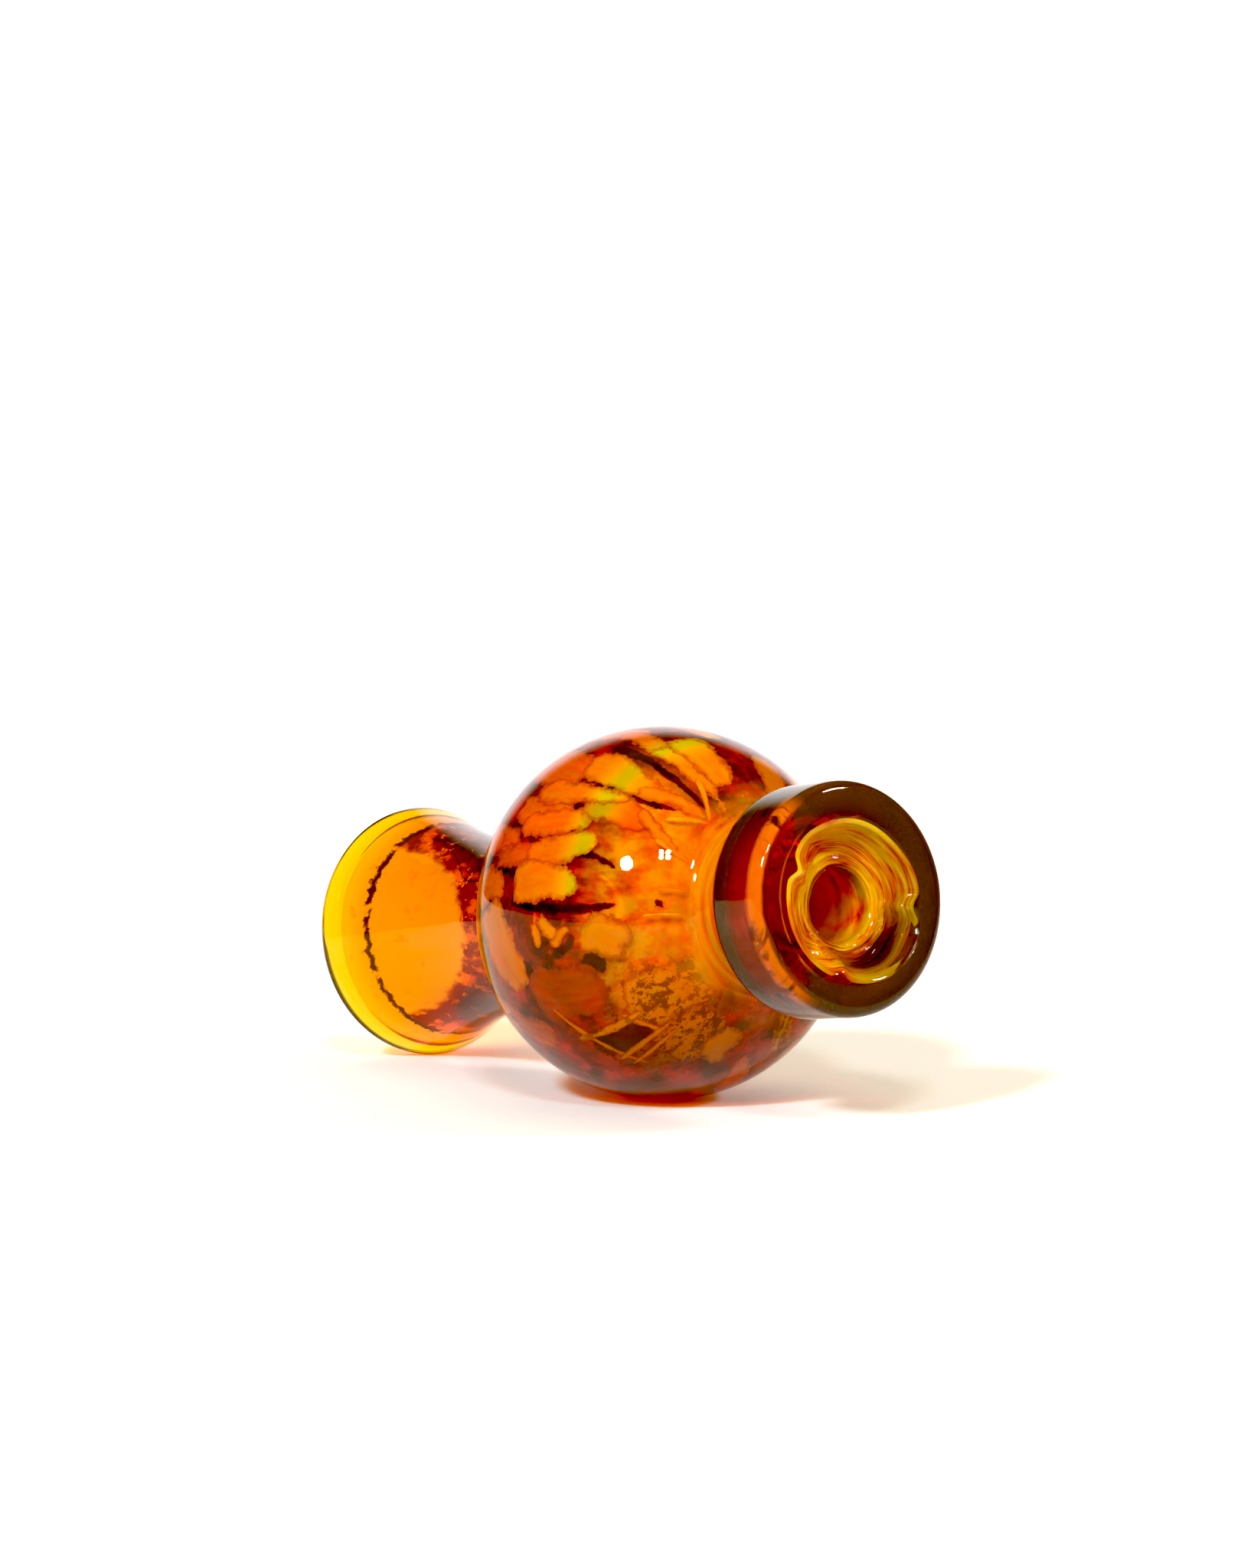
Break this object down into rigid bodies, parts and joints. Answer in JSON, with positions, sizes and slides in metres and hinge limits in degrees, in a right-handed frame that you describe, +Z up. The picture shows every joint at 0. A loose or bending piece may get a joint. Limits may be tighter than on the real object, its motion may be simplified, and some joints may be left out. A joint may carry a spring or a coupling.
{
  "type": "blown glass bubble cap",
  "caption": "Hand-blown amber glass cap lying on its side: hollow patterned bubble, flared hollow stem, short neck, thick flat collar with a lobed bore.",
  "frame": {"origin": "centre of the object's footprint box, on the surface it lies on", "axes": "+Z up from the surface; the cap's long axis lies in the XZ plane and rises 7.6 degrees towards +X, where the collar is; the flared stem points to -X"},
  "size_m": [0.065, 0.0318, 0.0319],
  "materials": {
    "lip_glass": "fire-polished",
    "stem_glass": "fire-polished",
    "stem_pattern": "fumed scales",
    "bubble_glass": "fire-polished",
    "bubble_pattern": "fumed scales",
    "neck_glass": "fire-polished",
    "collar_glass": "fire-polished",
    "swirl_glass": "streaked"
  },
  "bodies": {
    "root": {"stem_lip": "lip_glass", "stem_casing": "stem_glass", "stem_lining": "stem_pattern", "bubble_casing": "bubble_glass", "bubble_lining": "bubble_pattern", "neck": "neck_glass", "collar": "collar_glass", "mouth_swirl": "swirl_glass"}
  },
  "joints": []
}
